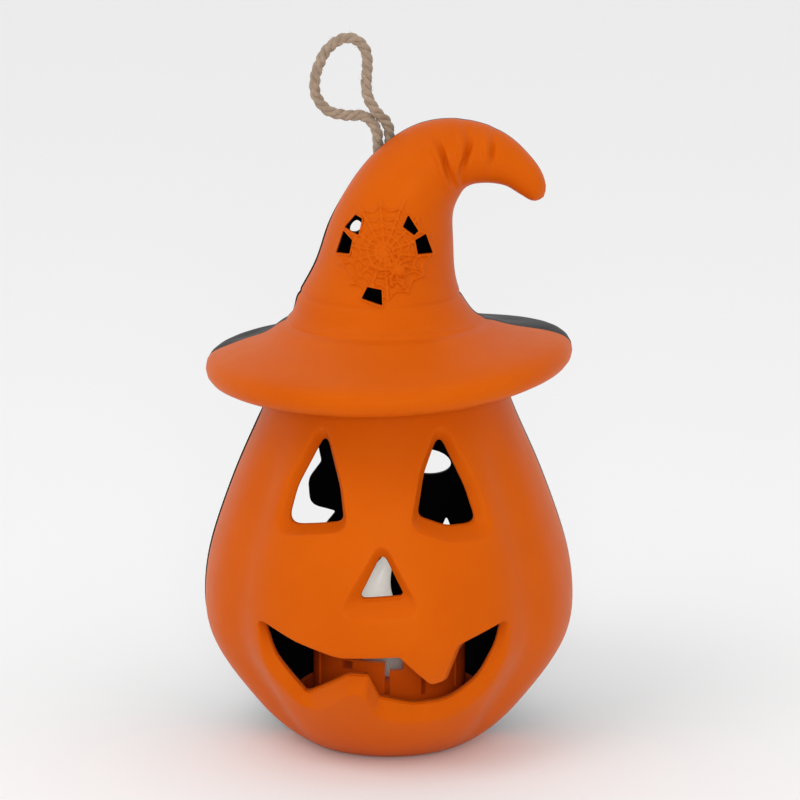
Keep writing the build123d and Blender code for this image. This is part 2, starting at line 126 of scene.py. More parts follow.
def left_outline(rings):
    """x and z of the left end of each ring: its centre less its radius, turned by its tilt."""
    tilt = np.radians(rings[:, 2])
    x = rings[:, 0] - rings[:, 3] * np.cos(tilt)
    return np.column_stack([x, rings[:, 1] + rings[:, 3] * np.sin(tilt)])


def distance_along(line):
    """Distance of each point of a line from its start, along the line."""
    return np.concatenate([[0], np.cumsum(np.linalg.norm(np.diff(line, axis=0), axis=1))])


# The spline's parameter grows by the square root of the distance between the rings' left ends
KNOTS = np.concatenate(
    [[0], np.cumsum(np.sqrt(np.linalg.norm(np.diff(left_outline(RINGS), axis=0), axis=1)))])
BENDS = natural_bends(KNOTS, RINGS)


def ring_at(knot):
    """Centre x, centre z, tilt and radius on the cubic spline through the rings."""
    return spline_at(knot, KNOTS, RINGS, BENDS)


# Climb, the distance along the left outline from the foot, against the spline's own parameter
knot_table = np.linspace(0, KNOTS[-1], 4000)
table_rings = ring_at(knot_table)
climb_table = distance_along(left_outline(table_rings))
TOP_CLIMB = climb_table[-1]
NECK_CLIMB = np.interp(KNOTS[NECK_RING], knot_table, climb_table)


def climb_of_ring(index):
    """Climb of a ring of the list."""
    return np.interp(KNOTS[index], knot_table, climb_table)


def smoothstep(x):
    """Smooth rise from 0 at 0 to 1 at 1."""
    x = np.clip(x, 0, 1)
    return x * x * (3 - 2 * x)


def bell(x):
    """Bell curve: 1 at 0, falling off as e to the minus square."""
    return np.exp(-x ** 2)


# Creases of the bent hat: ring, climb from it, slope and bend of the crease across the hat, middle and
# half width of its reach across the hat, depth, half width
HAT_CREASES = [
    (CROWN_RING + 5, 0.0, -8.0, -5.3, 0.0, 0.55, 1.8, 1.1),
    (CROWN_RING + 6, -0.8, -11.1, -7.7, -0.1, 0.6, 1.8, 1.2),
    (CROWN_RING + 7, 0.8, -2.0, 0.3, -0.35, 0.5, 1.5, 1.1),
]

# Lines above and below the hat band: ring, depth, half width
BAND_LINES = [(CROWN_RING - 1, 0.4, 0.7), (CROWN_RING - 4, 0.9, 1.0)]


def groove_depth(climb, bearing):
    """Depth of the pumpkin's grooves: bells of the bearing, fading at the neck and the foot."""
    across = sum(bell((bearing - c) / GROOVE_WIDTH) for c in GROOVE_BEARINGS)
    on_body = smoothstep((NECK_CLIMB - climb) / 30) * smoothstep(climb / 22)
    return GROOVE_DEPTH * across * (on_body * (1 + bell((climb - 38) / 16)))


def crease_depth(climb, turn, side):
    """Depth of the hat's creases, on its front: a bell of the climb with a shallow ridge before it.

    A crease's climb is a parabola of the way across the hat.
    """
    depth = 0.0
    facing = smoothstep(0.6 + np.cos(turn))
    for ring, ahead, slope, bend, middle, reach, deep, half in HAT_CREASES:
        line = climb_of_ring(ring) + ahead + slope * side + bend * side ** 2
        off = (climb - line) / (half * (1 + 1.5 * np.clip(side, 0, 1)))
        fold = bell(off) - 0.6 * bell((off + 2.0) / 1.3)
        depth = depth + deep * fold * facing * bell((side - middle) / reach)
    return depth


def brim_height(climb, bearing, radius, turn, side):
    """Height that bends the brim out of its plane.

    It is lifted by a bell of the bearing and droops at the back by the square of a cosine, both more
    towards its edge. Its top dips near the hat, at the back and on the left.
    """
    flare = smoothstep((radius - 26) / 27) * smoothstep((climb - NECK_CLIMB) / 8)
    apart = (bearing - BRIM_LIFT_BEARING + 180) % 360 - 180
    lift = BRIM_LIFT * bell(apart / BRIM_LIFT_WIDTH)
    droop = BRIM_DROOP * np.clip(-np.cos(turn), 0, 1) ** 2
    top = smoothstep((climb - climb_of_ring(BRIM_TOP_RING)) / 5)
    on_left = np.clip(-side, 0, 1)
    behind = smoothstep(-np.cos(turn) / 0.45) * smoothstep((radius - 22) / 7) \
        * (1 - 0.7 * smoothstep((radius - 36) / 12)) * (1 - 0.8 * on_left)
    left = on_left ** 3 * bell((radius - 35.5) / 5.5)
    left_behind = on_left * smoothstep(-np.cos(turn) / 0.3) * bell((radius - 42) / 6)
    dip = BRIM_DIP * behind + BRIM_LEFT_DIP * left + BRIM_LEFT_BACK_DIP * left_behind
    return (lift - droop) * flare - dip * top


def skin(climb, bearing):
    """Point of the outer skin.

    A ring stands at each climb up the left outline. The point is the ring's centre plus its radius towards
    the bearing (0 is the front, 90 is +X), turned by the ring's tilt. Grooves, creases and the hat band's
    lines are taken out of the radius, and the brim's bend is added to the height.
    """
    ring = ring_at(np.interp(climb, climb_table, knot_table))
    cx, cz, tilt, radius = (ring[..., i] for i in range(4))
    tilt = np.radians(tilt)
    turn = np.radians(bearing)
    side = np.sin(turn)
    radius = radius - groove_depth(climb, bearing) - crease_depth(climb, turn, side)
    for ring_index, depth, half in BAND_LINES:
        radius = radius - depth * bell((climb - climb_of_ring(ring_index)) / half)
    x = cx + radius * side * np.cos(tilt)
    z = cz - radius * side * np.sin(tilt) + brim_height(climb, bearing, radius, turn, side)
    return np.stack([x, -radius * np.cos(turn), z], -1)


def wall_at(climb, point):
    """Wall at skin points: thinner in the hat's tip and behind the cobweb."""
    radius = ring_at(np.interp(climb, climb_table, knot_table))[:, 3]
    reach = np.linalg.norm(point[:, X_AND_Z] - np.array(WEB_CENTRE), axis=1)
    behind_web = smoothstep((WEB_R + 6 - reach) / 6) * (point[:, 1] < 0)
    return np.minimum(WALL - (WALL - WEB_WALL) * behind_web, 0.6 * radius)


def skin_normal(climb, bearing):
    """Outward unit normal: the cross product of the skin's two slopes."""
    step_c, step_b = 0.05, 0.1
    low, high = np.clip(climb - step_c, 0, TOP_CLIMB), np.clip(climb + step_c, 0, TOP_CLIMB)
    along = skin(high, bearing) - skin(low, bearing)
    across = skin(climb, bearing + step_b) - skin(climb, bearing - step_b)
    normal = np.cross(across, along)
    return normal / np.maximum(np.linalg.norm(normal, axis=-1, keepdims=True), 1e-9)


def find_on_skin(targets, axes, start):
    """Climb and bearing whose skin point has the target's two coordinates, by Newton's method."""
    climb = np.full(len(targets), float(start[0]))
    bearing = np.full(len(targets), float(start[1]))
    for _ in range(16):
        here = skin(climb, bearing)[:, axes]
        by_climb = (skin(climb + 0.05, bearing)[:, axes] - here) / 0.05
        by_bearing = (skin(climb, bearing + 0.05)[:, axes] - here) / 0.05
        miss = targets - here
        det = by_climb[:, 0] * by_bearing[:, 1] - by_climb[:, 1] * by_bearing[:, 0]
        det = np.where(np.abs(det) < 1e-6, 1e-6, det)
        move_c = (miss[:, 0] * by_bearing[:, 1] - miss[:, 1] * by_bearing[:, 0]) / det
        move_b = (by_climb[:, 0] * miss[:, 1] - by_climb[:, 1] * miss[:, 0]) / det
        climb = np.clip(climb + np.clip(move_c, -4, 4), 0.1, TOP_CLIMB - 0.1)
        bearing = bearing + np.clip(move_b, -8, 8)
    return climb, bearing


# ------------------------------------------------------------------ outlines of the openings
POINTS_PER_SIDE = 10
POINTS_PER_CORNER = 7


def rounded(corners):
    """Closed outline: straight sides joined by arcs that touch them, the same number of points at each."""
    places = np.array([c[:2] for c in corners], float)
    radii = np.array([c[2] for c in corners], float)
    into = places - np.roll(places, 1, axis=0)
    out = np.roll(places, -1, axis=0) - places
    into_len = np.linalg.norm(into, axis=1)
    out_len = np.linalg.norm(out, axis=1)
    into, out = into / into_len[:, None], out / out_len[:, None]
    turn = np.arccos(np.clip((into * out).sum(1), -1, 1))
    cut = np.minimum(radii * np.tan(turn / 2), 0.45 * np.minimum(into_len, out_len))
    starts = places - into * cut[:, None]
    ends = places + out * cut[:, None]
    share = np.linspace(0, 1, POINTS_PER_CORNER)[:, None]
    side_share = np.linspace(0, 1, POINTS_PER_SIDE, endpoint=False)[1:, None]
    outline = []
    for start, corner, end, following in zip(starts, places, ends, np.roll(starts, -1, axis=0)):
        outline.append((1 - share) ** 2 * start + 2 * share * (1 - share) * corner + share ** 2 * end)
        outline.append(end + side_share * (following - end))
    return np.concatenate(outline)


def widened(outline, distance):
    """Outline moved outwards along its own normals."""
    ahead = np.roll(outline, -1, axis=0) - np.roll(outline, 1, axis=0)
    normal = np.column_stack([ahead[:, 1], -ahead[:, 0]])
    normal /= np.linalg.norm(normal, axis=1, keepdims=True)
    x, z = outline.T
    area = 0.5 * np.sum(x * np.roll(z, -1) - np.roll(x, -1) * z)
    return outline + normal * distance * np.sign(area)


def segment_distance(points, a, b):
    """Distance of points to a straight segment."""
    run = b - a
    share = np.clip(((points - a) @ run) / max(run @ run, 1e-12), 0, 1)
    return np.linalg.norm(points - a - share[:, None] * run, axis=1)


def outside_by(points, outline):
    """Distance of each point to the outline, negative inside it."""
    best = np.full(len(points), 1e9)
    inside = np.zeros(len(points), bool)
    for p, q in zip(outline, np.roll(outline, -1, axis=0)):
        best = np.minimum(best, segment_distance(points, p, q))
        run = q - p
        crosses = (p[1] > points[:, 1]) != (q[1] > points[:, 1])
        if abs(run[1]) > 1e-12:
            inside ^= crosses & (points[:, 0] < p[0] + (points[:, 1] - p[1]) / run[1] * run[0])
    return np.where(inside, -best, best)


# Face openings: corners of the hole and of the pocket's rim round it: x, z, corner radius
LEFT_EYE = [
    (-17.0, 101.3, 1.6), (-12.6, 86.8, 25), (-11.3, 77.4, 2.4), (-28.2, 74.6, 3.0), (-25.2, 85.8, 20)]
LEFT_EYE_RIM = [
    (-17.8, 107.5, 3.6), (-11.9, 89.0, 25), (-9.6, 75.9, 5.0), (-33.8, 71.6, 7.0), (-29.3, 87.0, 25)]
RIGHT_EYE = [
    (15.7, 101.6, 1.8), (23.4, 86.4, 25), (27.1, 75.8, 2.6), (18.3, 75.9, 12), (10.0, 79.2, 2.4),
    (11.7, 90.8, 20)]
RIGHT_EYE_RIM = [
    (16.2, 107.6, 3.8), (26.8, 90.5, 25), (34.2, 71.6, 6.5), (20.5, 71.9, 12), (7.9, 76.6, 5.0),
    (10.6, 93.0, 20)]
NOSE = [(0.2, 70.1, 1.8), (6.7, 57.6, 1.2), (-6.7, 56.5, 1.4)]
NOSE_RIM = [(0.0, 75.2, 3.4), (13.6, 51.4, 4.6), (-14.8, 50.4, 4.6)]
MOUTH = [
    (-35.2, 47.2, 1.0), (-26.0, 42.2, 20), (-13.0, 38.4, 15), (4.8, 39.3, 0.9), (14.2, 29.4, 2.0),
    (18.9, 30.7, 2.0), (23.0, 41.8, 3.0), (34.4, 47.8, 1.0), (32.7, 40.6, 18), (27.6, 30.5, 18),
    (19.0, 23.3, 14), (8.5, 22.6, 14), (-0.9, 25.4, 0.9), (-3.9, 33.2, 1.5), (-9.6, 33.4, 5.0),
    (-22.4, 24.6, 1.2), (-31.5, 36.6, 18)]
MOUTH_RIM = [
    (-37.8, 48.4, 2.5), (-25.6, 43.4, 20), (-12.6, 39.7, 15), (5.6, 40.6, 2.2), (14.6, 31.0, 2.6),
    (17.8, 32.0, 2.6), (22.0, 43.2, 4.4), (37.6, 49.0, 2.5), (37.0, 38.0, 18), (31.2, 25.4, 18),
    (20.5, 16.4, 16), (6.5, 15.6, 14), (-2.6, 18.2, 6.0), (-5.2, 26.4, 4.0), (-9.4, 27.2, 6.0),
    (-21.5, 16.8, 8.0), (-35.6, 31.6, 18)]
POCKET_DEPTH = 4.5
NOSE_POCKET_DEPTH = 3.6
POCKET_LEAD = 0.14
POCKET_SHARES = np.array([0, 0.05, 0.1, 0.16, 0.24, 0.34, 0.46, 0.58, 0.7, 0.82, 0.92])
# Open cells of the cobweb
WEB_CELLS = [
    [(-9.3, 163.2), (-7.2, 162.3), (-8.3, 157.5), (-12.6, 159.2)],
    [(-12.9, 158.3), (-10.1, 156.0), (-10.9, 151.9), (-15.1, 151.6)],
    [(6.4, 163.8), (9.4, 158.9), (8.1, 157.7), (4.8, 160.3)],
    [(11.5, 157.9), (13.6, 151.9), (9.2, 152.1), (8.4, 156.4)],
    [(-5.4, 143.2), (-1.2, 142.5), (-0.9, 138.0), (-7.1, 139.9)],
]
CELL_CORNER = 0.35
CELL_EDGE = 0.5
CELL_LIP = 0.45
CELLS_FOOT_Z = 137.0
# Openings of the back
MOON = [
    (-24.2, 84.0, 2.0), (-22.8, 74.2, 3.0), (-27.0, 68.5, 6.0), (-26.6, 59.5, 5.0), (-18.8, 56.2, 0.8),
    (-25.0, 48.5, 5.0), (-34.0, 52.0, 8.0), (-38.0, 64.0, 12.0), (-34.0, 78.0, 8.0)]
CLOUD_CENTRE = (10.0, 73.2)
CLOUD_RADII = (7.3, 4.4)
STAR_CENTRE = (15.8, 46.2)
STAR_RADII = (8.4, 3.6)
STAR_CORNER_R = (0.5, 1.6)
HOOK_HOLE = (-10.8, 154.4, 2.0)
ROPE_HOLE = (-1.6, 5.6, 3.8)
SCREW_PLACES = [(-40.0, 27.0), (40.0, 27.0), (-31.0, 98.0), (31.0, 98.0), (21.0, 178.5)]
WELL_R = 2.9
POST_R = 4.6
SHANK_HOLE_R = 1.65
SCREW_HEAD_Y = 6.0
# Planes in which the shells meet
FRONT_END_Y = 0.05
BACK_END_Y = 0.005

X_AND_Z = [0, 2]
X_AND_Y = [0, 1]


def ellipse(centre, radii, count=48):
    """Points of an upright ellipse, anticlockwise."""
    turn = np.linspace(0, 2 * np.pi, count, endpoint=False)
    return np.column_stack([centre[0] + radii[0] * np.cos(turn), centre[1] + radii[1] * np.sin(turn)])


def star_corners():
    """Corners of a five-pointed star, its tips and notches by turns."""
    corners = []
    for i in range(10):
        reach, turn = STAR_RADII[i % 2], i * math.pi / 5
        corners.append((STAR_CENTRE[0] + reach * math.sin(turn), STAR_CENTRE[1] + reach * math.cos(turn),
                        STAR_CORNER_R[i % 2]))
    return corners


class Opening:
    """Rows of points from the skin round an opening, through the wall, to the skin's inner side."""

    def __init__(self, rim, axes, start, inwards):
        self.rim = rim
        self.axes = axes
        self.start = start
        self.inwards = np.array(inwards, float)
        self.rim_place = find_on_skin(rim, axes, start)
        self.rows = []

    def add_row(self, outline, sink, wall_share=None, square=0.0):
        """Row over an outline: sunk along the draw, or a share of the wall further in."""
        climb, bearing = find_on_skin(outline, self.axes, self.start)
        point = skin(climb, bearing) + self.inwards * np.reshape(sink, (-1, 1))
        if wall_share:
            normal = skin_normal(climb, bearing)
            wall = wall_at(climb, skin(climb, bearing))[:, None]
            facing = np.clip(-(normal @ self.inwards), 0.5, 1)[:, None]
            straight = self.inwards / facing
            point = point + wall_share * wall * (square * straight - (1 - square) * normal)
        self.rows.append(point)

    def add_level(self, outline, level):
        """Row at one height along the draw."""
        point = np.zeros((len(outline), 3))
        point[:, self.axes] = outline
        along = int(np.argmax(np.abs(self.inwards)))
        point[:, along] = level
        self.rows.append(point)


def pocket(hole_corners, rim_corners, start, depth):
    """Opening of the face: a funnel from the rim to the hole, then the hole's straight wall.

    The sink grows from nothing at the rim, at first slowly, then in step with the way to the hole.
    """
    hole, rim = rounded(hole_corners), rounded(rim_corners)
    opening = Opening(rim, X_AND_Z, start, (0, 1, 0))
    sinks = (POCKET_SHARES - POCKET_LEAD * (1 - np.exp(-POCKET_SHARES / POCKET_LEAD))) / (1 - POCKET_LEAD)
    funnel = list(zip(POCKET_SHARES, sinks))
    for share, sink in funnel:
        opening.add_row(rim + share * (hole - rim), depth * sink)
    for out, extra in ((0.42, 0.0), (0.14, 0.1), (0.0, 0.4)):
        opening.add_row(widened(hole, out), depth + extra)
    opening.add_row(hole, depth, 0.93, 1.0)
    for share, sink in reversed(funnel):
        opening.add_row(rim + share * (hole - rim), depth * sink, 1.0, share)
    return opening


def cut(hole, start, inwards, axes, edge=0.8, lip=0.0):
    """Plain opening with a rounded edge; lip raises the skin round it."""
    opening = Opening(widened(hole, edge), axes, start, inwards)
    round_edge = ((1, 0), (0.75, -lip), (0.45, -lip), (0.2, 0.12 * edge - lip), (0.05, 0.3 * edge - lip),
                  (0, 0.6 * edge))
    for out, sink in round_edge:
        opening.add_row(widened(hole, out * edge), sink)
    opening.add_row(hole, 0.0, 0.9, 1.0)
    opening.add_row(widened(hole, 0.12 * edge), 0.0, 1.0, 1.0)
    opening.add_row(widened(hole, edge), 0.0, 1.0, 0.0)
    return opening


def well(place, start):
    """Screw well of the back: a tube down to the screw's seat and the post round it."""
    opening = Opening(ellipse(place, (POST_R, POST_R), 36), X_AND_Z, start, (0, -1, 0))
    for r, sink in ((POST_R, 0.0), (WELL_R + 0.6, 0.0), (WELL_R + 0.15, 0.15), (WELL_R, 0.6)):
        opening.add_row(ellipse(place, (r, r), 36), sink)
    for r, level in ((WELL_R, SCREW_HEAD_Y), (SHANK_HOLE_R, SCREW_HEAD_Y), (SHANK_HOLE_R, BACK_END_Y),
                     (POST_R, BACK_END_Y)):
        opening.add_level(ellipse(place, (r, r), 36), level)
    opening.add_row(opening.rim, 0.0, 1.0, 0.0)
    return opening


# ------------------------------------------------------------------ cobweb relief
WEB_SPOKES = 14
WEB_RINGS = (3.0, 5.4, 7.9, 10.6, 13.6)
THREAD_HALF = 0.42
THREAD_H = 0.5
SPIDER_AT = (3.0, 148.2)
SPIDER_TILT = -35.0


def web_relief(points):
    """Height of the cobweb over the skin at x and z.

    Spokes leave the middle at even turns. Between two spokes each ring sags towards the middle by a sine of
    the way across. A thread's height falls off as a bell of the distance to it. The spider is two domes and
    eight bent legs that stand on the threads.
    """
    off = points - np.array(WEB_CENTRE)
    reach = np.linalg.norm(off, axis=1)
    turn = np.mod(np.arctan2(off[:, 1], off[:, 0]) / (2 * np.pi) * WEB_SPOKES + 0.3, WEB_SPOKES)
    share = turn - np.floor(turn)
    spoke = np.minimum(share, 1 - share) * 2 * np.pi / WEB_SPOKES * reach
    gap = spoke
    for ring in WEB_RINGS:
        gap = np.minimum(gap, np.abs(reach - ring * (1 - 0.13 * np.sin(np.pi * share))))
    height = THREAD_H * np.exp(-(gap / THREAD_HALF) ** 4)
    height = height * smoothstep((WEB_R - reach) / 0.9)
    body = points - np.array(SPIDER_AT)
    tilt = math.radians(SPIDER_TILT)
    along = body @ np.array([math.cos(tilt), math.sin(tilt)])
    side = body @ np.array([-math.sin(tilt), math.cos(tilt)])
    belly = 1.5 * np.sqrt(np.clip(1 - ((along - 0.9) / 2.3) ** 2 - (side / 1.9) ** 2, 0, 1))
    head = 1.2 * np.sqrt(np.clip(1 - ((along + 2.0) / 1.3) ** 2 - (side / 1.2) ** 2, 0, 1))
    height = np.maximum(height, np.maximum(belly, head))
    for hand in (-1, 1):
        for i, lean in enumerate((-50, -15, 20, 55)):
            root = np.array([-1.4 + 0.5 * i, 0.9 * hand])
            knee = root + 2.9 * np.array([math.sin(math.radians(lean)), hand * math.cos(math.radians(lean))])
            foot = knee + 2.6 * np.array([math.sin(math.radians(lean * 1.5)),
                                          hand * 0.35 * math.cos(math.radians(lean))])
            place = np.column_stack([along, side])
            leg = np.minimum(segment_distance(place, root, knee), segment_distance(place, knee, foot))
            height = np.maximum(height, 0.8 * np.exp(-(leg / 0.42) ** 4))
    return height


# ------------------------------------------------------------------ half shells
CLIMB_STEP = 1.7
FINE_CLIMB_STEP = 0.55
BEARING_STEPS = 96
ROUND_SCALE = 40 * math.pi / 180
WEB_STEP = 0.34


def web_weight(point, normal):
    """1 on the front of the hat, where the cobweb is."""
    return (point[:, 2] > 136) & (point[:, 2] < 170) & (normal[:, 1] < -0.3)


def outer_and_inner(climb, bearing, with_web):
    """Outer skin with the cobweb and the proud back edge, and the inner side one wall further in."""
    point = skin(climb, bearing)
    normal = skin_normal(climb, bearing)
    inner = point - normal * wall_at(climb, point)[:, None]
    if with_web:
        relief = np.zeros(len(point))
        on_web = web_weight(point, normal)
        relief[on_web] = web_relief(point[on_web][:, X_AND_Z])
        point = point + normal * relief[:, None]
    on_body = smoothstep((NECK_CLIMB - climb) / 12) * smoothstep(climb / 20)
    on_hat = smoothstep((climb - climb_of_ring(CROWN_RING - 3)) / 5) \
        * smoothstep((climb_of_ring(CROWN_RING + 2) - climb) / 14)
    proud = EDGE_PROUD * bell((bearing - EDGE_BEARING) / 10) * (on_body + on_hat)
    return point + normal * proud[:, None], inner


def row_climbs():
    """Climbs of the grid's rows, closer together at the hat's band and at its creases."""
    climb = np.linspace(0, TOP_CLIMB, 6000)
    step = np.full(len(climb), CLIMB_STEP)
    for low, high in ((CROWN_RING - 5, CROWN_RING), (CROWN_RING + 3, CROWN_RING + 8)):
        step[(climb > climb_of_ring(low)) & (climb < climb_of_ring(high))] = FINE_CLIMB_STEP
    count = np.cumsum(1 / step) - 1 / step[0]
    return np.interp(np.linspace(0, count[-1], int(count[-1] * climb[1])), count, climb)


def ring_quads(rows, around):
    """Quads between rows of points that each go round once."""
    index = np.arange(rows * around).reshape(rows, around)
    near, far = index[:-1], index[1:]
    return np.stack([near, np.roll(near, -1, 1), np.roll(far, -1, 1), far], -1).reshape(-1, 4)


def with_fine_web(climb, bearing):
    """Grid of climbs and bearings with its points at the cobweb replaced by finer ones."""
    low = climb_of_ring(CROWN_RING - 1)
    fine_c = np.arange(low - 4, low + 36, WEB_STEP)
    fine_b = np.arange(-60, 60, WEB_STEP * 2.9)
    fc, fb = (a.ravel() for a in np.meshgrid(fine_c, fine_b, indexing="ij"))
    middle = np.array(WEB_CENTRE)
    near = np.linalg.norm(skin(fc, fb)[:, X_AND_Z] - middle, axis=1) < WEB_R + 0.5
    place = skin(climb, bearing)
    far = (np.linalg.norm(place[:, X_AND_Z] - middle, axis=1) > WEB_R + 1.2) | (place[:, 1] > -5)
    return np.concatenate([climb[far], fc[near]]), np.concatenate([bearing[far], fb[near]])


def is_web_cell(opening, with_web):
    """Whether an opening is one of the cobweb's cells."""
    return with_web and opening.rim[:, 1].min() > CELLS_FOOT_Z


def clear_of(openings, climb, bearing, with_web):
    """Grid points outside all the openings' rims, a little way off them."""
    place = skin(climb, bearing)
    for opening in openings:
        rim_climb = opening.rim_place[0]
        local = (climb > rim_climb.min() - 6) & (climb < rim_climb.max() + 6)
        gap = np.full(len(climb), 1e9)
        gap[local] = outside_by(place[local][:, opening.axes], opening.rim)
        keep = gap > (0.3 if is_web_cell(opening, with_web) else 0.8)
        climb, bearing, place = climb[keep], bearing[keep], place[keep]
    return climb, bearing


def net_round(openings, climb, bearing):
    """Constrained Delaunay net of grid points and rims, without the triangles inside the rims."""
    rims = [np.column_stack([climbs, bearings * ROUND_SCALE])
            for climbs, bearings in (opening.rim_place for opening in openings)]
    edges = []
    count = len(climb)
    for loop in rims:
        edges += [(count + i, count + (i + 1) % len(loop)) for i in range(len(loop))]
        count += len(loop)
    flat = np.concatenate([np.column_stack([climb, bearing * ROUND_SCALE])] + rims)
    net = delaunay_2d_cdt([Vector(p) for p in flat.tolist()], edges, [], 0, 1e-5)
    places = np.array([tuple(v) for v in net[0]])
    triangles = np.array(net[2])
    middles = places[triangles].mean(axis=1)
    solid = np.ones(len(triangles), bool)
    for loop in rims:
        local = np.all((middles > loop.min(0)) & (middles < loop.max(0)), axis=1) & solid
        solid[local] = outside_by(middles[local], loop) > 0
    return places[:, 0], places[:, 1] / ROUND_SCALE, triangles[solid]


def outer_border(climb, bearing, triangles, first, last):
    """Sides of single triangles that lie at the foot, at the top or in the shells' plane."""
    sides = np.concatenate([triangles[:, [0, 1]], triangles[:, [1, 2]], triangles[:, [2, 0]]])
    _, index, repeats = np.unique(np.sort(sides, axis=1), axis=0, return_index=True, return_counts=True)
    border = sides[index[repeats == 1]]
    at_end = (climb < 0.01) | (climb > TOP_CLIMB - 0.01) \
        | (np.abs(bearing - first) < 0.01) | (np.abs(bearing - last) < 0.01)
    return border[at_end[border].all(axis=1)]


def half_shell(name, first, last, openings, with_web, end_y):
    """Closed wall of half the lantern between two bearings.

    A grid of climbs and bearings, with a finer one on the cobweb, is joined to the openings' rims by a
    constrained Delaunay net. The same net carries the inner side. Rows of quads line each opening.
    """
    bearings = np.linspace(first, last, BEARING_STEPS + 1)
    climb, bearing = (a.ravel() for a in np.meshgrid(row_climbs(), bearings, indexing="ij"))
    if with_web:
        climb, bearing = with_fine_web(climb, bearing)
    climb, bearing = clear_of(openings, climb, bearing, with_web)
    climb, bearing, triangles = net_round(openings, climb, bearing)
    outer, inner = outer_and_inner(climb, bearing, with_web)
    size = len(outer)
    border = outer_border(climb, bearing, triangles, first, last)
    points = [outer, inner]
    faces = triangles.tolist() + (triangles[:, ::-1] + size).tolist()
    faces += [(b, a, a + size, b + size) for a, b in border.tolist()]
    base = 2 * size
    for opening in openings:
        width = len(opening.rows[0])
        lining = np.concatenate(opening.rows)
        if is_web_cell(opening, with_web):
            lining[:width] = outer_and_inner(*opening.rim_place, True)[0]
        lining[-width:] = outer_and_inner(*opening.rim_place, False)[1]
        points.append(lining)
        faces += (ring_quads(len(opening.rows), width) + base).tolist()
        base += len(lining)
    points = np.concatenate(points)
    points[:, 1] = np.minimum(points[:, 1], end_y) if first < 0 else np.maximum(points[:, 1], end_y)
    mesh = bpy.data.meshes.new(name)
    mesh.from_pydata((points * MM).tolist(), [], faces)
    return finished(name, mesh, weld=True)


def finished(name, mesh, weld=False, sharp=40):
    """Object of a mesh: doubles merged, faces turned outwards, smooth but for sharp edges."""
    work = bmesh.new()
    work.from_mesh(mesh)
    if weld:
        bmesh.ops.remove_doubles(work, verts=work.verts, dist=2e-6)
        bmesh.ops.dissolve_degenerate(work, dist=1e-7, edges=work.edges)
    bmesh.ops.recalc_face_normals(work, faces=work.faces)
    work.to_mesh(mesh)
    work.free()
    mesh.shade_smooth()
    mesh.set_sharp_from_angle(angle=math.radians(sharp))
    piece = bpy.data.objects.new(name, mesh)
    bpy.context.collection.objects.link(piece)
    return piece


def front_openings(depth):
    """Eyes, nose, mouth and the cobweb's open cells."""
    on_face = climb_of_ring(9)
    openings = [
        pocket(LEFT_EYE, LEFT_EYE_RIM, (on_face, -28), depth),
        pocket(RIGHT_EYE, RIGHT_EYE_RIM, (on_face, 28), depth),
        pocket(NOSE, NOSE_RIM, (climb_of_ring(8), 0), NOSE_POCKET_DEPTH),
        pocket(MOUTH, MOUTH_RIM, (climb_of_ring(6), 0), depth),
    ]
    for cell in WEB_CELLS:
        hole = rounded([(x, z, CELL_CORNER) for x, z in cell])
        openings.append(cut(hole, (climb_of_ring(CROWN_RING + 1), 0),
                            (0, 1, 0), X_AND_Z, CELL_EDGE, CELL_LIP))
    return openings


def back_openings():
    """Moon, cloud, star, hook hole, rope hole and screw wells."""
    back = (0, -1, 0)
    on_back = (climb_of_ring(8), 180)
    hook_hole = ellipse(HOOK_HOLE[:2], (HOOK_HOLE[2],) * 2)
    rope_hole = ellipse(ROPE_HOLE[:2], (ROPE_HOLE[2],) * 2)
    openings = [
        cut(rounded(MOON), on_back, back, X_AND_Z, 1.0),
        cut(ellipse(CLOUD_CENTRE, CLOUD_RADII), on_back, back, X_AND_Z, 1.0),
        cut(rounded(star_corners()), on_back, back, X_AND_Z, 0.7),
        cut(hook_hole, (climb_of_ring(CROWN_RING + 1), 200), back, X_AND_Z, 0.7),
        cut(rope_hole, (climb_of_ring(CROWN_RING + 3) + 6, 246), (0, 0, -1), X_AND_Y, 0.7),
    ]
    for x, z in SCREW_PLACES:
        if z > 150:
            start = (climb_of_ring(CROWN_RING + 5), 180)
        else:
            start = (np.interp(z, table_rings[:2000, 1], climb_table[:2000]), 180 - math.copysign(50, x))
        openings.append(well((x, z), start))
    return openings


# ------------------------------------------------------------------ twine
ROPE_ROUTE = [
    (-3.4, 5.4, 174.0), (-3.4, 5.4, 180.0), (-3.5, 4.6, 185.0), (-6.8, 6.4, 189.4), (-12.6, 7.0, 189.0),
    (-18.6, 6.4, 190.2), (-22.6, 6.2, 195.6), (-21.8, 6.0, 203.0), (-18.0, 5.8, 210.4), (-11.4, 5.8, 213.4),
    (-6.6, 6.0, 209.2), (-6.6, 6.0, 202.8), (-7.2, 5.6, 196.4), (-4.4, 4.8, 190.8), (-0.4, 6.6, 187.2),
    (0.2, 5.8, 181.0), (0.2, 5.8, 174.0),
]
PLIES = 3
PLY_OFFSET = 0.82
PLY_R = 0.86
PLY_PITCH = 8.5
PLY_SIDES = 14
FIBRES = 7
LINE_STEP = 0.35
HAIR_REACH = 3.6
HAIR_R = 0.07
HAIR_SEED = 11


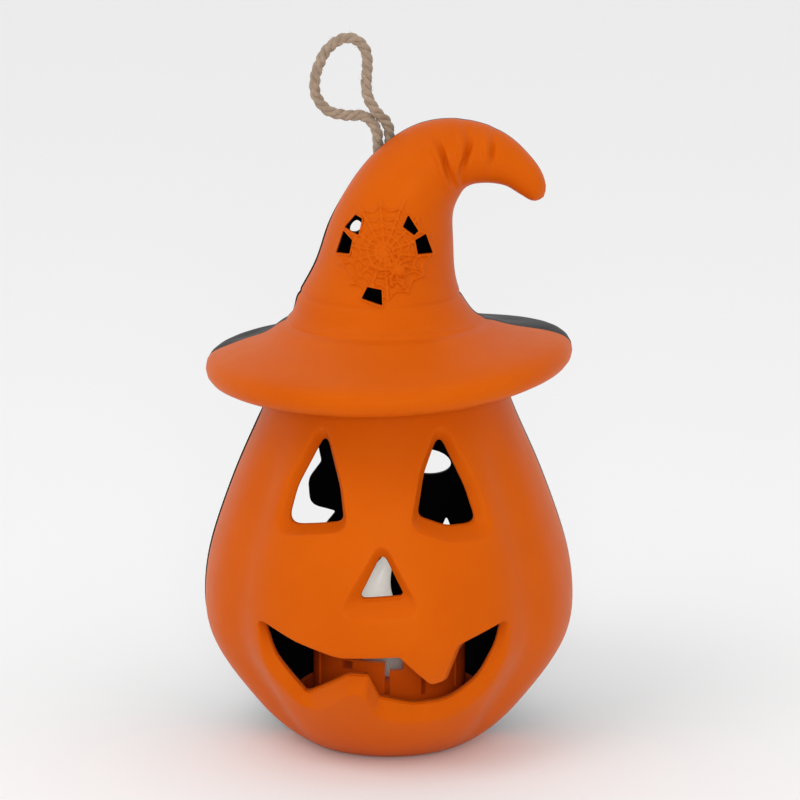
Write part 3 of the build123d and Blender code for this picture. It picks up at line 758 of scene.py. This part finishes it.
def route_line(route):
    """Even points along the smooth line of a route, read from its NURBS spline, in millimetres."""
    curve = bpy.data.curves.new("route", "CURVE")
    curve.dimensions = "3D"
    spline = curve.splines.new("NURBS")
    spline.points.add(len(route) - 1)
    spline.points.foreach_set("co", [v for p in route for v in (p[0] * MM, p[1] * MM, p[2] * MM, 1)])
    spline.order_u = 3
    spline.use_endpoint_u = True
    spline.resolution_u = 16
    holder = bpy.data.objects.new("route", curve)
    bpy.context.collection.objects.link(holder)
    mesh = bpy.data.meshes.new_from_object(holder)
    line = np.empty(len(mesh.vertices) * 3)
    mesh.vertices.foreach_get("co", line)
    bpy.data.objects.remove(holder)
    bpy.data.curves.remove(curve)
    bpy.data.meshes.remove(mesh)
    return evened(line.reshape(-1, 3) / MM, LINE_STEP)


def evened(line, step):
    """The same line with its points an even step apart."""
    reach = distance_along(line)
    even = np.linspace(0, reach[-1], max(int(reach[-1] / step), 4))
    return np.column_stack([np.interp(even, reach, line[:, i]) for i in range(3)])


def frames_along(line, reference):
    """Two directions square to the line at each point, the first nearly square to the reference too."""
    tangent = np.gradient(line, axis=0)
    tangent /= np.linalg.norm(tangent, axis=1, keepdims=True)
    side = np.cross(tangent, reference)
    side /= np.maximum(np.linalg.norm(side, axis=1, keepdims=True), 1e-9)
    return side, np.cross(side, tangent)


def tube_mesh(line, radius, sides, reference=(0, 1, 0), ridges=0, ridge_h=0.0, ridge_turns=0.0):
    """Points and faces of a tube: a circle of the radius carried along the line, closed at its ends.

    Ridges add a cosine of the way round to the radius, and turn about the line as they go.
    """
    line = np.asarray(line, float)
    side, up = frames_along(line, np.array(reference, float))
    turn = np.linspace(0, 2 * np.pi, sides, endpoint=False)[None, :]
    way = np.linspace(0, 1, len(line))[:, None]
    radius = np.broadcast_to(np.reshape(radius, (-1, 1)), (len(line), 1))
    local = radius + ridge_h * np.cos(ridges * (turn + 2 * np.pi * ridge_turns * way))
    points = line[:, None, :] + local[..., None] * (
        np.cos(turn)[..., None] * side[:, None, :] + np.sin(turn)[..., None] * up[:, None, :])
    last = (len(line) - 1) * sides
    ends = [list(range(sides - 1, -1, -1)), list(range(last, last + sides))]
    return points.reshape(-1, 3), ring_quads(len(line), sides).tolist() + ends


def joined_mesh(name, parts):
    """One mesh of several point and face lists, in metres."""
    points, faces, base = [], [], 0
    for part_points, part_faces in parts:
        points.append(part_points)
        faces += [[i + base for i in face] for face in part_faces]
        base += len(part_points)
    mesh = bpy.data.meshes.new(name)
    mesh.from_pydata((np.concatenate(points) * MM).tolist(), [], faces)
    return mesh


def plies(line, reference):
    """Twine: three plies, each a ridged tube that winds round the line at an even pitch."""
    side, up = frames_along(line, np.array(reference, float))
    reach = distance_along(line)
    parts = []
    for ply in range(PLIES):
        turn = 2 * np.pi * (reach / PLY_PITCH + ply / PLIES)
        swell = 1 + 0.05 * np.sin(reach * 1.7 + ply * 2.1) + 0.04 * np.sin(reach * 4.3 + ply)
        centre = line + PLY_OFFSET * (np.cos(turn)[:, None] * side + np.sin(turn)[:, None] * up)
        parts.append(tube_mesh(centre, PLY_R * swell, PLY_SIDES, reference, FIBRES, 0.05, reach[-1] / 5.0))
    return parts


def hairs(line, count, reference, seed):
    """Loose fibres: thin tapered tubes that leave the twine and bend over, along a parabola."""
    rng = np.random.default_rng(seed)
    side, up = frames_along(line, np.array(reference, float))
    tangent = np.cross(up, side)
    parts = []
    for _ in range(count):
        at = rng.integers(2, len(line) - 2)
        turn = rng.uniform(0, 2 * np.pi)
        away = np.cos(turn) * side[at] + np.sin(turn) * up[at]
        length = rng.uniform(0.6, 2.6)
        lean = rng.uniform(-1, 1) * tangent[at] + rng.uniform(-0.35, 0.35, 3)
        way = np.linspace(0, 1, 5)[:, None]
        bend = away * (0.9 + 0.75 * length * way * (1 - 0.45 * way)) + lean * length * 0.8 * way ** 1.5
        bend *= np.minimum(1, HAIR_REACH / np.linalg.norm(bend, axis=1))[:, None]
        parts.append(tube_mesh(line[at] + bend, HAIR_R * (1 - 0.8 * way[:, 0]), 3, rng.normal(0, 1, 3)))
    return parts


# ------------------------------------------------------------------ flame
# Height, middle x, radius
FLAME_RINGS = np.array([
    (28.0, 0.0, 3.9), (31.0, -0.1, 4.7), (35.0, -1.2, 5.2), (40.0, -3.0, 5.1), (45.0, -3.9, 4.5),
    (49.0, -3.2, 3.7), (53.0, -1.5, 2.5), (56.0, -0.2, 1.1), (57.4, 0.2, 0.25)])
FLAME_WALL = 1.1
FLAME_TIP_WALL = 5.0
FLAME_ROWS = 60
FLAME_SIDES = 64


def flame_mesh(name):
    """Hollow flame: smooth curves of its middle and radius against height, fluted by a cosine that winds."""
    heights, values = FLAME_RINGS[:, 0], FLAME_RINGS[:, 1:]
    z = np.linspace(heights[0], heights[-1], FLAME_ROWS)
    curve = spline_at(z, heights, values, natural_bends(heights, values))
    turn = np.linspace(0, 2 * np.pi, FLAME_SIDES, endpoint=False)[None, :]
    share = (z[:, None] - heights[0]) / (heights[-1] - heights[0])
    flute = 1 + 0.05 * smoothstep(share * 4) * np.cos(3 * turn + 2.4 * share)
    sheets = []
    for wall, tip_wall in ((0.0, 0.0), (FLAME_WALL, FLAME_TIP_WALL)):
        height = heights[0] + share * (heights[-1] - tip_wall - heights[0])
        r = np.maximum(curve[:, 1:] * flute - wall, 0.02)
        sheet = np.stack([curve[:, :1] + r * np.cos(turn), r * np.sin(turn), height + 0 * turn], -1)
        sheets.append(sheet.reshape(-1, 3))
    points = np.concatenate(sheets)
    size = len(sheets[0])
    quads = ring_quads(FLAME_ROWS, FLAME_SIDES)
    inner = quads[:, ::-1] + size
    low = np.arange(FLAME_SIDES)
    foot = np.stack([low, np.roll(low, -1), np.roll(low, -1) + size, low + size], -1)
    top = np.arange(size - FLAME_SIDES, size)
    caps = [top.tolist(), (top[::-1] + size).tolist()]
    mesh = bpy.data.meshes.new(name)
    mesh.from_pydata((points * MM).tolist(), [], quads.tolist() + inner.tolist() + foot.tolist() + caps)
    return mesh


# ------------------------------------------------------------------ materials
class Finish:
    """Material whose patterns lie on the piece's own coordinates."""

    def __init__(self, name):
        self.material = bpy.data.materials.new(name)
        self.material.use_nodes = True
        self.tree = self.material.node_tree
        self.shader = self.tree.nodes["Principled BSDF"]
        self.place = self.tree.nodes.new("ShaderNodeTexCoord").outputs["Object"]

    def feed(self, node, inputs):
        """Gives a node's named inputs their values, or links them to another node's output."""
        for name, value in inputs.items():
            if isinstance(value, bpy.types.NodeSocket):
                self.tree.links.new(value, node.inputs[name])
            else:
                node.inputs[name].default_value = value

    def add(self, kind, output, inputs):
        """Output of a new node."""
        node = self.tree.nodes.new(kind)
        self.feed(node, inputs)
        return node.outputs[output]

    def noise(self, scale, detail, rough=0.5):
        """Noise pattern; scale is in features per metre."""
        return self.add("ShaderNodeTexNoise", "Fac", {
            "Vector": self.place, "Scale": scale, "Detail": detail, "Roughness": rough})

    def spread(self, value, low, high):
        """Value from 0 to 1 carried to a range."""
        return self.add("ShaderNodeMapRange", "Result", {"Value": value, "To Min": low, "To Max": high})

    def bump(self, height, strength, distance, under=None):
        """Normal of a bump of one height pattern, laid over another bump where there is one."""
        over = {"Normal": under} if under else {}
        return self.add("ShaderNodeBump", "Normal", {
            "Height": height, "Strength": strength, "Distance": distance, **over})

    def color(self, shade, color, factor):
        """Base colour between a shade and a colour."""
        mix = self.tree.nodes.new("ShaderNodeMix")
        mix.data_type = "RGBA"
        self.feed(mix, {"A": (*shade, 1), "B": (*color, 1), "Factor": factor})
        self.set({"Base Color": mix.outputs["Result"]})

    def set(self, inputs):
        """Inputs of the shader."""
        self.feed(self.shader, inputs)


WARM = (1.0, 0.5, 0.15)


def dimmed(color, share):
    """Darker colour of the same hue."""
    return [share * c for c in color]


def plastic(name, color, shade, roughness, grain=0.12, shine=0.3, tint=(1, 1, 1), glow=0.0):
    """Moulded plastic: faint flow marks in the colour, a fine grain in the bump, uneven gloss."""
    finish = Finish(name)
    finish.color(shade, color, finish.spread(finish.noise(28.0, 4.0, 0.6), -0.35, 1.35))
    fine = finish.bump(finish.noise(2600.0, 2.0), grain, 0.00006)
    finish.set({
        "Roughness": finish.spread(finish.noise(160.0, 5.0, 0.65), roughness - 0.07, roughness + 0.09),
        "Normal": finish.bump(finish.noise(90.0, 2.0), 0.10, 0.0006, fine),
        "Specular IOR Level": shine,
        "Specular Tint": (*tint, 1)})
    if glow:
        finish.set({
            "Subsurface Weight": glow, "Subsurface Radius": (1, 0.3, 0.05), "Subsurface Scale": 0.002})
    return finish.material


def twine_material(name, color, shade):
    """Jute: streaks along the fibres, mottled by a coarse noise, rough and a little fuzzy."""
    finish = Finish(name)
    finish.color(shade, color, finish.spread(finish.noise(420.0, 4.0, 0.7), -0.3, 1.4))
    fibre = finish.noise(3600.0, 3.0, 0.6)
    finish.set({
        "Roughness": finish.spread(fibre, 0.75, 0.95),
        "Normal": finish.bump(fibre, 0.6, 0.00015),
        "Sheen Weight": 0.35,
        "Sheen Roughness": 0.5})
    return finish.material


def metal(name, color, roughness):
    """Plated metal with fine handling marks."""
    finish = Finish(name)
    mark = finish.noise(900.0, 4.0, 0.6)
    finish.color(dimmed(color, 0.8), color, mark)
    finish.set({"Metallic": 1.0, "Roughness": finish.spread(mark, roughness - 0.08, roughness + 0.14)})
    return finish.material


def flame_material(name, color):
    """Translucent flame: milky plastic that the light goes a little way into, with a painted glow: a faint
    white emission that stands in for the light falling on it through the openings.
    """
    finish = Finish(name)
    cloud = finish.noise(180.0, 2.0)
    finish.color(dimmed(color, 0.82), color, cloud)
    finish.set({
        "Roughness": finish.spread(cloud, 0.24, 0.38),
        "Transmission Weight": 0.2,
        "IOR": 1.46,
        # Painted glow: the flame is no lamp here; this emission stands in for the light that falls on it
        # through the openings.
        "Emission Color": (1.0, 0.97, 0.92, 1),
        "Emission Strength": 0.25})
    return finish.material


def clear_epoxy(name, color):
    """Clear lens of the LED, with a faint haze."""
    finish = Finish(name)
    finish.set({
        "Base Color": (*color, 1),
        "Transmission Weight": 0.9,
        "IOR": 1.54,
        "Roughness": finish.spread(finish.noise(700.0, 2.0), 0.03, 0.12)})
    return finish.material


def dress(node, material):
    """Puts a material in every slot of a CAD node."""
    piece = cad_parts[node]
    if not piece.material_slots:
        piece.data.materials.append(material)
    for holder in piece.material_slots:
        holder.material = material


# ------------------------------------------------------------------ settings
def color_setting(name, description, default):
    """Colour property with the usual range."""
    return FloatVectorProperty(
        name=name, description=description, default=default, subtype="COLOR", min=0, max=1, size=3)


class LanternColors(bpy.types.PropertyGroup):
    """Colours of the lantern's finishes."""
    orange: color_setting("Orange", "Front shell", (0.61, 0.104, 0.002))
    orange_shade: color_setting("Orange shade", "Flow marks of the front shell", (0.54, 0.082, 0.0015))
    # The base's red-orange is made much brighter than the shell's orange: painted light that lifts the
    # collar seen in the shade behind the mouth.
    brightened_base_orange: color_setting("Base orange", "Base cup and candle collar", (0.95, 0.12, 0.004))
    black: color_setting("Black", "Back shell", (0.004, 0.004, 0.0045))
    jute: color_setting("Jute", "Twine", (0.42, 0.31, 0.22))
    jute_shade: color_setting("Jute shade", "Darker fibres of the twine", (0.17, 0.11, 0.065))
    candle: color_setting("Candle white", "LED candle's case", (0.78, 0.76, 0.70))
    flame: color_setting("Flame", "Translucent flame", (0.86, 0.85, 0.80))


class LanternSizes(bpy.types.PropertyGroup):
    """Sizes of the visual detail that a maker may change."""
    pocket_depth: FloatProperty(
        name="Pocket depth", description="Depth of the pockets round the eyes and mouth",
        default=POCKET_DEPTH * MM, unit="LENGTH", min=0.001, max=0.008)
    fuzz: FloatProperty(
        name="Fuzz", description="Loose fibres per millimetre of twine", default=4.2, min=0, max=8)


class PieceOperator:
    """What the operators that build pieces share."""
    bl_options = {"REGISTER", "UNDO"}

    @property
    def colors(self):
        return bpy.context.scene.lantern_colors

    @property
    def sizes(self):
        return bpy.context.scene.lantern_sizes


class LANTERN_OT_front_shell(PieceOperator, bpy.types.Operator):
    """Build the orange front shell: face, brim and hat front"""
    bl_idname = "lantern.front_shell"
    bl_label = "Front shell"

    def execute(self, context):
        piece = half_shell(
            "front_shell_skin", -90, 90, front_openings(self.sizes.pocket_depth / MM), True, FRONT_END_Y)
        colors = self.colors
        piece.data.materials.append(
            plastic("orange_plastic", colors.orange, colors.orange_shade, 0.44, 0.10, 0.14, WARM, 0.12))
        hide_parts("front_shell")
        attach(piece, "lantern")
        return {"FINISHED"}


class LANTERN_OT_back_shell(PieceOperator, bpy.types.Operator):
    """Build the black back shell with its moon, cloud, star and screw wells"""
    bl_idname = "lantern.back_shell"
    bl_label = "Back shell"

    def execute(self, context):
        piece = half_shell("back_shell_skin", 90, 270, back_openings(), False, BACK_END_Y)
        black = self.colors.black
        piece.data.materials.append(plastic("black_plastic", black, dimmed(black, 0.7), 0.42, 0.12, 0.045))
        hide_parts("back_shell")
        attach(piece, "lantern")
        return {"FINISHED"}


class LANTERN_OT_twine(PieceOperator, bpy.types.Operator):
    """Twist the twine loop from three plies and tie its knot inside the hat"""
    bl_idname = "lantern.twine"
    bl_label = "Twine"

    def execute(self, context):
        jute = twine_material("jute_twine", self.colors.jute, self.colors.jute_shade)
        line = route_line(ROPE_ROUTE)
        length = distance_along(line)[-1]
        reference = (0, 1, 0)
        parts = plies(line, reference) + hairs(line, int(length * self.sizes.fuzz), reference, HAIR_SEED)
        twine = finished("hang_rope_twine", joined_mesh("hang_rope_twine", parts))
        twine.data.materials.append(jute)
        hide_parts("hang_rope")
        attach(twine, "lantern")
        knot = self.knot()
        knot.data.materials.append(jute)
        return {"FINISHED"}

    def knot(self):
        """Trefoil of the same twine: x and y on a wobbling circle, z on a wave of three."""
        low, high = np.array(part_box("rope_knot")) / MM
        centre = (low + high) / 2
        turn = np.linspace(0, 2 * np.pi, 260)
        line = np.column_stack([
            centre[0] + 1.25 * (np.sin(turn) + 1.1 * np.sin(2 * turn)),
            centre[1] + 1.25 * (np.cos(turn) - 1.1 * np.cos(2 * turn)),
            centre[2] - 0.4 - 2.3 * np.sin(3 * turn)])
        parts = plies(evened(line, LINE_STEP), (0.3, 0.2, 1))
        knot = finished("rope_knot_twine", joined_mesh("rope_knot_twine", parts))
        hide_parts("rope_knot")
        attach(knot, "lantern")
        return knot


class LANTERN_OT_flame(PieceOperator, bpy.types.Operator):
    """Build the LED candle's hollow flame"""
    bl_idname = "lantern.flame"
    bl_label = "Flame"

    def execute(self, context):
        piece = finished("flame_bulb_skin", flame_mesh("flame_bulb_skin"))
        # The flame's finish carries a painted glow that stands in for light falling on it.
        piece.data.materials.append(flame_material("milky_flame_painted_glow", self.colors.flame))
        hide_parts("flame_bulb")
        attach(piece, "candle")
        return {"FINISHED"}


class LANTERN_OT_finishes(PieceOperator, bpy.types.Operator):
    """Give the moulded and metal parts of the base and the candle their finishes"""
    bl_idname = "lantern.finishes"
    bl_label = "Finishes"

    def execute(self, context):
        colors = self.colors
        orange = colors.brightened_base_orange
        # The base colour's brightness is painted light, lifting the collar in the shade behind the mouth.
        base = plastic("base_plastic", orange, dimmed(orange, 0.8), 0.42, 0.12, 0.3, WARM)
        white = plastic("candle_plastic", colors.candle, dimmed(colors.candle, 0.93), 0.36, 0.08)
        switch = plastic("switch_plastic", (0.02, 0.02, 0.022), (0.012, 0.012, 0.013), 0.5, 0.2)
        board = plastic("board_laminate", (0.02, 0.14, 0.05), (0.012, 0.10, 0.035), 0.35, 0.2)
        zinc = metal("zinc_plate", (0.62, 0.62, 0.64), 0.32)
        nickel = metal("nickel_plate", (0.70, 0.69, 0.66), 0.22)
        strip = metal("contact_strip", (0.78, 0.66, 0.42), 0.28)
        finishes = {
            base: ("base_cup", "candle_collar", "light_housing"),
            white: ("light_base", "battery_door", "wick_cone"),
            switch: ("switch_body", "switch_slider"),
            board: ("circuit_board",),
            zinc: ("shell_screws", "door_screw"),
            nickel: ("coin_cell",),
            strip: ("spring_contact", "side_contact", "led_leads"),
            clear_epoxy("led_epoxy", (0.95, 0.90, 0.72)): ("led_lamp",),
        }
        for material, nodes in finishes.items():
            for node in nodes:
                dress(node, material)
        return {"FINISHED"}


# ------------------------------------------------------------------ stage
CAMERA_DISTANCE = 1.3
CAMERA_ELEVATION = 14.0
CAMERA_YAW = 2.5
CAMERA_AIM = (0.0033, 0.0, 0.1041)
CAMERA_LENS = 195.0
FLOOR_HALF = 3.0


class LANTERN_OT_stage(bpy.types.Operator):
    """Set the pale floor, the soft lights and the camera"""
    bl_idname = "lantern.stage"
    bl_label = "Stage"

    def execute(self, context):
        floor = bpy.data.meshes.new("floor")
        corners = [(-FLOOR_HALF, -FLOOR_HALF, 0), (FLOOR_HALF, -FLOOR_HALF, 0),
                   (FLOOR_HALF, FLOOR_HALF, 0), (-FLOOR_HALF, FLOOR_HALF, 0)]
        floor.from_pydata(corners, [], [(0, 1, 2, 3)])
        ground = bpy.data.objects.new("floor", floor)
        context.collection.objects.link(ground)
        pale = Finish("pale_floor")
        pale.set({"Base Color": (0.9, 0.9, 0.9, 1), "Roughness": 0.8})
        floor.materials.append(pale.material)
        world = bpy.data.worlds.new("soft_room")
        world.use_nodes = True
        sky = world.node_tree.nodes["Background"].inputs
        sky["Color"].default_value = (1.0, 1.0, 1.0, 1)
        sky["Strength"].default_value = 0.9
        context.scene.world = world
        context.scene.view_settings.view_transform = "Standard"
        self.area("front", (0.1, -1.6, 0.50), 0.3, 6.0)
        self.area("top", (-0.45, -0.5, 1.05), 0.5, 2.0)
        self.camera(context)
        return {"FINISHED"}

    def area(self, name, place, size, power):
        """Square soft light that looks at the lantern's middle."""
        light = bpy.data.lights.new(name, "AREA")
        light.size = size
        light.energy = power
        lamp = bpy.data.objects.new(name, light)
        lamp.location = place
        lamp.rotation_euler = (Vector((0, 0, 0.1)) - Vector(place)).to_track_quat("-Z", "Y").to_euler()
        bpy.context.collection.objects.link(lamp)

    def camera(self, context):
        """Long lens a little above and to the right of the face."""
        up, turn = math.radians(CAMERA_ELEVATION), math.radians(CAMERA_YAW)
        back = Vector((math.sin(turn) * math.cos(up), -math.cos(turn) * math.cos(up), math.sin(up)))
        view = bpy.data.cameras.new("camera")
        view.lens = CAMERA_LENS
        view.sensor_width = 36
        seat = bpy.data.objects.new("camera", view)
        seat.location = Vector((0, 0, 0.096)) + back * CAMERA_DISTANCE
        seat.rotation_euler = (Vector(CAMERA_AIM) - seat.location).to_track_quat("-Z", "Y").to_euler()
        context.collection.objects.link(seat)
        context.scene.camera = seat


class LANTERN_PT_panel(bpy.types.Panel):
    """Sidebar panel with the lantern's settings and builders."""
    bl_idname = "LANTERN_PT_panel"
    bl_label = "Lantern"
    bl_space_type = "VIEW_3D"
    bl_region_type = "UI"
    bl_category = "Lantern"

    def draw(self, context):
        for group in (context.scene.lantern_colors, context.scene.lantern_sizes):
            for name in group.__annotations__:
                self.layout.prop(group, name)
        for operator in OPERATORS:
            self.layout.operator(operator.bl_idname)


OPERATORS = (
    LANTERN_OT_stage, LANTERN_OT_front_shell, LANTERN_OT_back_shell, LANTERN_OT_twine, LANTERN_OT_flame,
    LANTERN_OT_finishes)
CLASSES = (LanternColors, LanternSizes, *OPERATORS, LANTERN_PT_panel)


def register():
    """Registers the add-on's classes and settings."""
    for item in CLASSES:
        bpy.utils.register_class(item)
    bpy.types.Scene.lantern_colors = PointerProperty(type=LanternColors)
    bpy.types.Scene.lantern_sizes = PointerProperty(type=LanternSizes)


def unregister():
    """Takes the classes and settings away again."""
    del bpy.types.Scene.lantern_sizes
    del bpy.types.Scene.lantern_colors
    for item in reversed(CLASSES):
        bpy.utils.unregister_class(item)


def main():
    """Builds the whole lantern."""
    register()
    bpy.ops.lantern.stage()
    bpy.ops.lantern.front_shell()
    bpy.ops.lantern.back_shell()
    bpy.ops.lantern.twine()
    bpy.ops.lantern.flame()
    bpy.ops.lantern.finishes()


if __name__ == "__main__":
    main()
